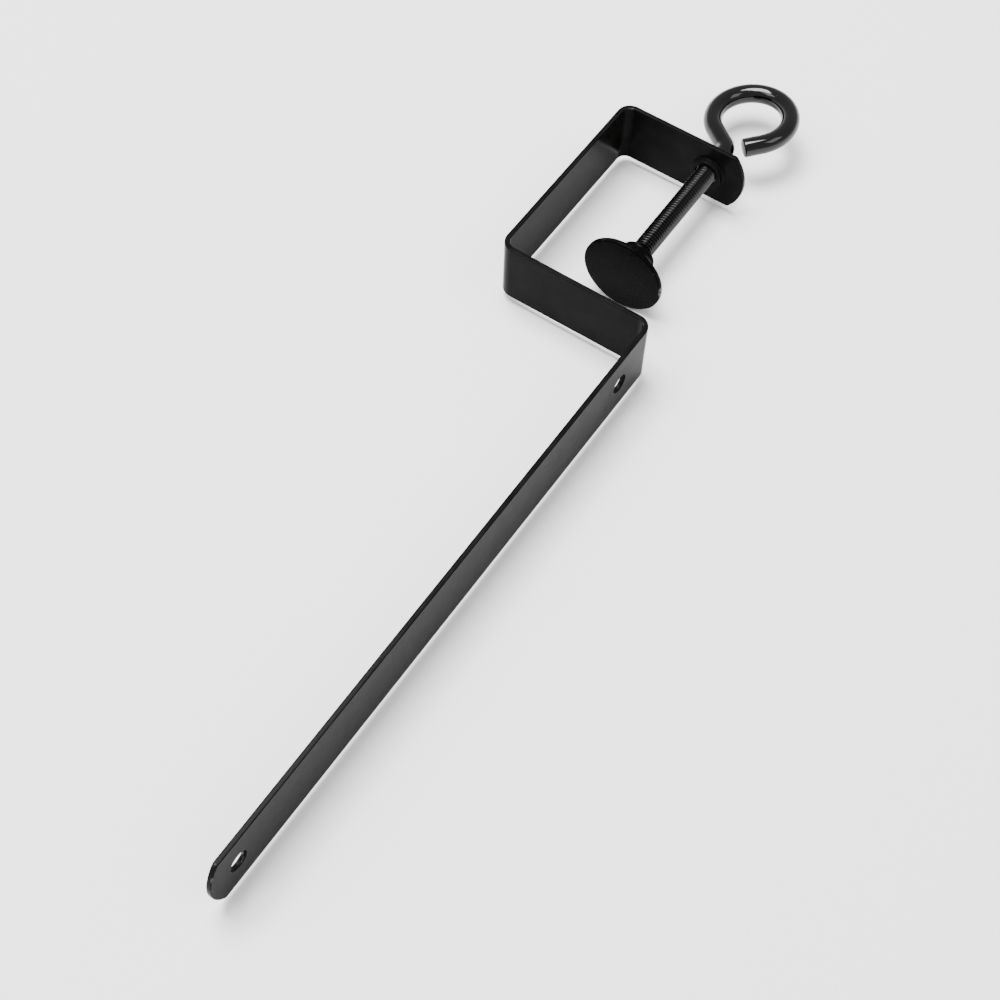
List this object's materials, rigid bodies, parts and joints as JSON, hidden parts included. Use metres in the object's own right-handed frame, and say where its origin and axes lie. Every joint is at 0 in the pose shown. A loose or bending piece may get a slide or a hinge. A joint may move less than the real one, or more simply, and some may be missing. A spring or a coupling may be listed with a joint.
{
  "type": "table tennis net clamp",
  "caption": "Bent steel strip net post and C-clamp for a table edge, with an eye screw and a swivelling round pad.",
  "frame": {"origin": "on the screw's axis, at the upper jaw's face that rests on the table top, half-way across the strip's width", "axes": "+Y from the table face along the screw to its eye, -Y up the net post, +X towards the jaw's open side and the post's outer face, +Z across the strip's width, up as the clamp lies on its edge"},
  "size_m": [0.0397, 0.2355, 0.02],
  "materials": {
    "black_coat": "satin",
    "black_gloss_coat": "gloss",
    "black_pressed_steel": "satin"
  },
  "bodies": {
    "bracket": {"bracket": "black_coat"},
    "pad": {"swivel_pad": "black_pressed_steel"},
    "screw": {"clamp_screw": "black_gloss_coat"}
  },
  "joints": [
    {"name": "pad_travel", "type": "slide", "parent": "bracket", "child": "pad", "axis": [0, -1, 0], "range_m": [-0.0288, 0.0048]},
    {"name": "screw_turn", "type": "hinge", "parent": "pad", "child": "screw", "pos_m": [0, 0.0173, 0], "axis": [0, -1, 0], "range_deg": [-12970, 2170]}
  ],
  "couplings": [
    {"joint": "screw_turn", "follows": "pad_travel", "rad_per_m": 7854}
  ]
}
